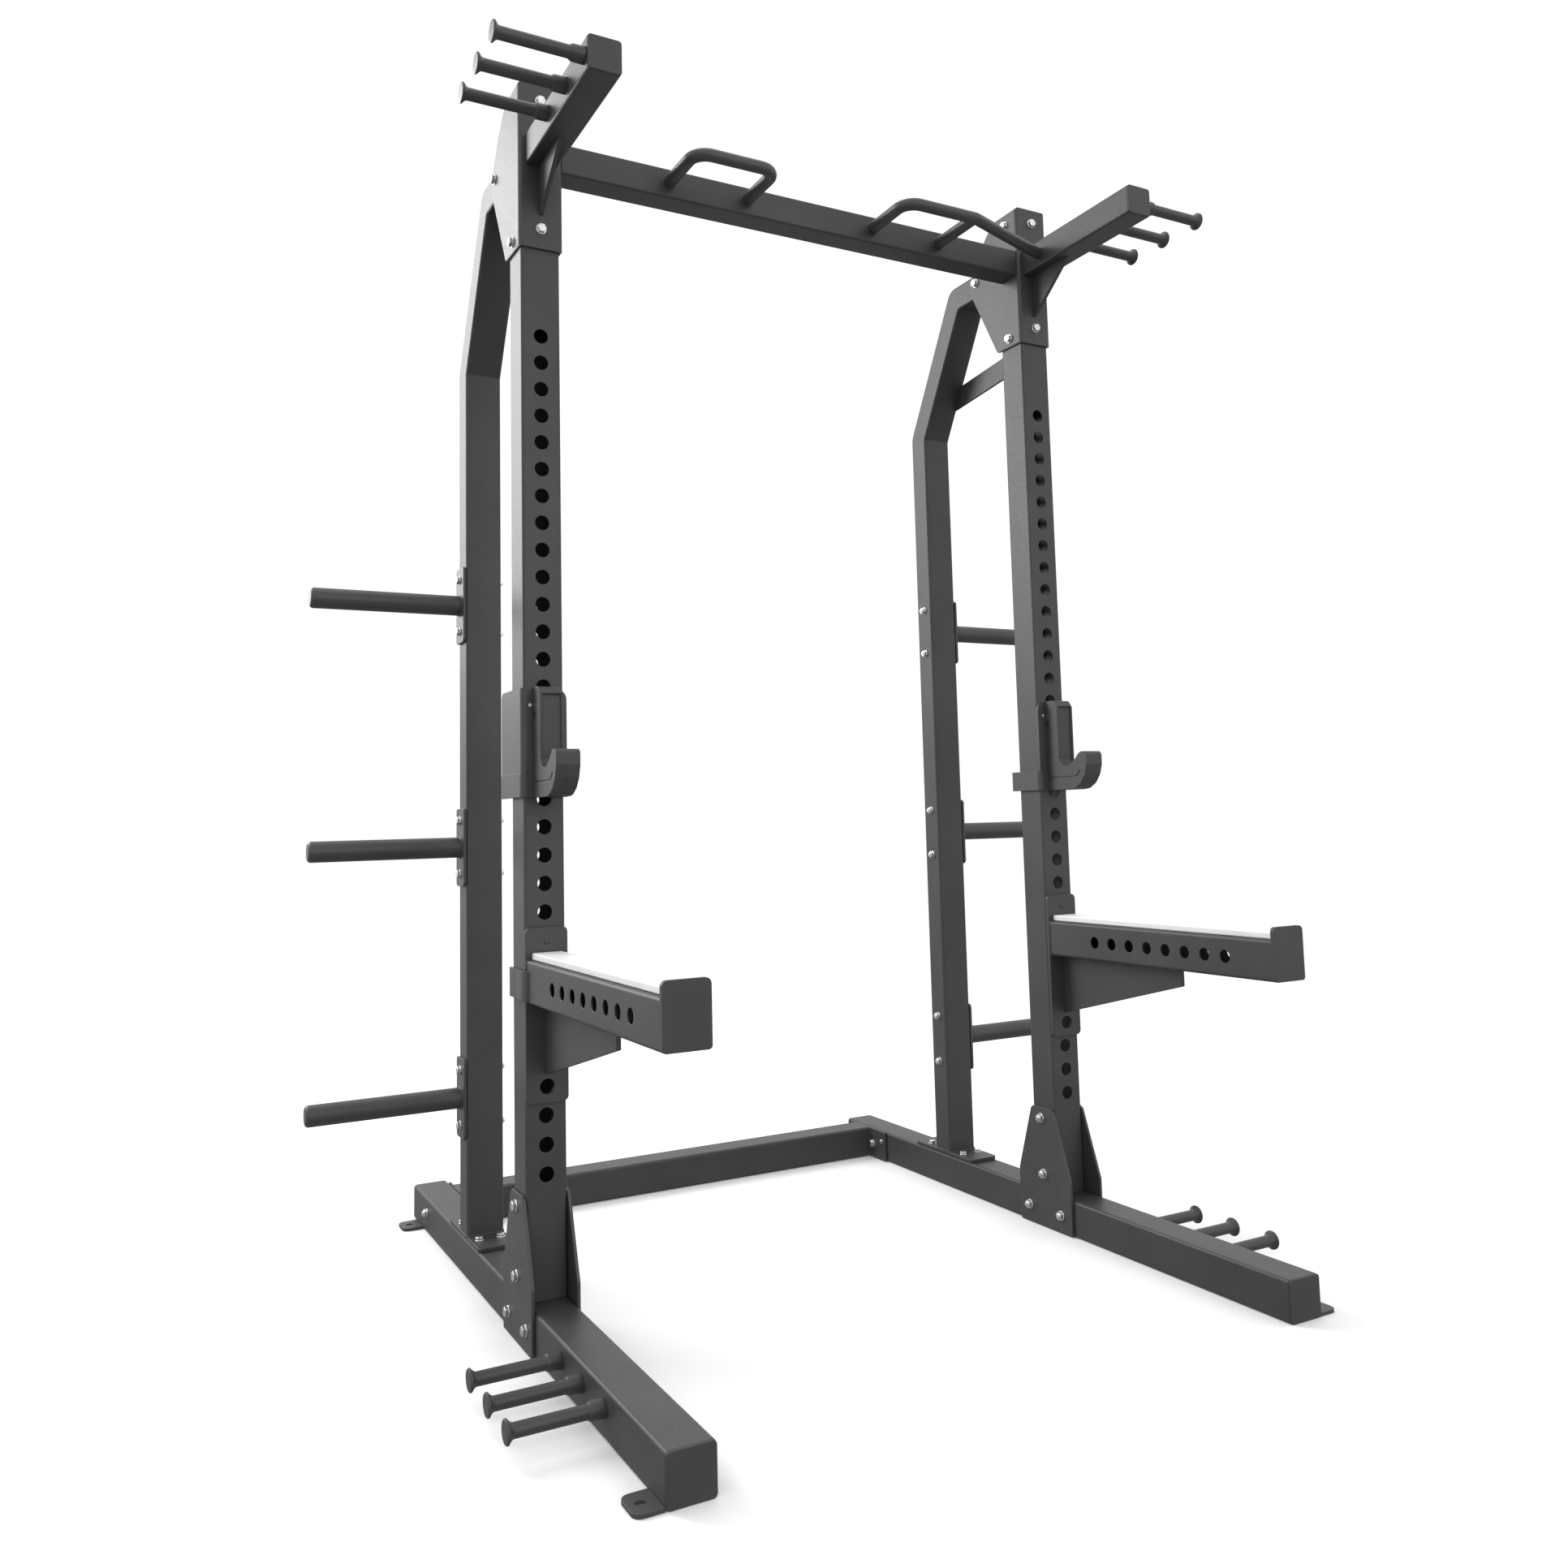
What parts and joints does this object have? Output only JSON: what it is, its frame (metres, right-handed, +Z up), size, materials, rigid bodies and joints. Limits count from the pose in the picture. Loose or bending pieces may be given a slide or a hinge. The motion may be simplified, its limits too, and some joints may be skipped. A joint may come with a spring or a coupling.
{
  "type": "half rack with plate storage",
  "caption": "Steel half rack: two uprights on long feet, rear storage legs, pull-up crossbar with handles, band pegs, hook cups and spotter arms that pull off.",
  "frame": {"origin": "on the floor under the middle of the rack's outer box, midway between the two uprights", "axes": "+Z up, -Y toward the lifter's side (the front of the rack), +X to the right seen from the front"},
  "size_m": [1.87, 1.51, 2.305],
  "materials": {
    "frame": "charcoal black semi-gloss powder coat on square tube",
    "plate": "charcoal black semi-gloss powder coat on cut plate",
    "peg": "charcoal black semi-gloss powder coat on round bar and tube",
    "pad": "black moulded plastic, fine satin texture",
    "strip": "white wear-resistant plastic strip, satin"
  },
  "bodies": {
    "frame": {"crossbar": "frame", "left_base_gusset_inner": "plate", "left_base_gusset_outer": "plate", "left_base_peg_1": "peg", "left_base_peg_2": "peg", "left_base_peg_3": "peg", "left_floor_tab_front": "plate", "left_floor_tab_rear": "plate", "left_foot": "frame", "left_foot_cap_front": "frame", "left_foot_cap_rear": "frame", "left_handle": "peg", "left_outrigger": "frame", "left_outrigger_cap": "frame", "left_rear_leg": "frame", "left_storage_peg_1": "peg", "left_storage_peg_2": "peg", "left_storage_peg_3": "peg", "left_top_bracket": "plate", "left_upper_peg_1": "peg", "left_upper_peg_2": "peg", "left_upper_peg_3": "peg", "left_upright": "frame", "rear_crossmember": "frame", "right_base_gusset_inner": "plate", "right_base_gusset_outer": "plate", "right_base_peg_1": "peg", "right_base_peg_2": "peg", "right_base_peg_3": "peg", "right_brace": "frame", "right_floor_tab_front": "plate", "right_floor_tab_rear": "plate", "right_foot": "frame", "right_foot_cap_front": "frame", "right_foot_cap_rear": "frame", "right_handle": "peg", "right_outrigger": "frame", "right_outrigger_cap": "frame", "right_rear_leg": "frame", "right_storage_peg_1": "peg", "right_storage_peg_2": "peg", "right_storage_peg_3": "peg", "right_top_bracket": "plate", "right_upper_peg_1": "peg", "right_upper_peg_2": "peg", "right_upper_peg_3": "peg", "right_upright": "frame"},
    "left_cup": {"left_cup_bracket": "plate", "left_cup_pad": "pad"},
    "left_spotter": {"left_spotter_arm": "frame", "left_arm_strip": "strip"},
    "right_cup": {"right_cup_bracket": "plate", "right_cup_pad": "pad"},
    "right_spotter": {"right_spotter_arm": "frame", "right_arm_strip": "strip"}
  },
  "joints": [
    {"name": "left_cup_pull", "type": "slide", "parent": "frame", "child": "left_cup", "axis": [0, -1, 0], "range_m": [0, 0.06]},
    {"name": "left_spotter_pull", "type": "slide", "parent": "frame", "child": "left_spotter", "axis": [0, -1, 0], "range_m": [0, 0.06]},
    {"name": "right_cup_pull", "type": "slide", "parent": "frame", "child": "right_cup", "axis": [0, -1, 0], "range_m": [0, 0.06]},
    {"name": "right_spotter_pull", "type": "slide", "parent": "frame", "child": "right_spotter", "axis": [0, -1, 0], "range_m": [0, 0.06]}
  ]
}
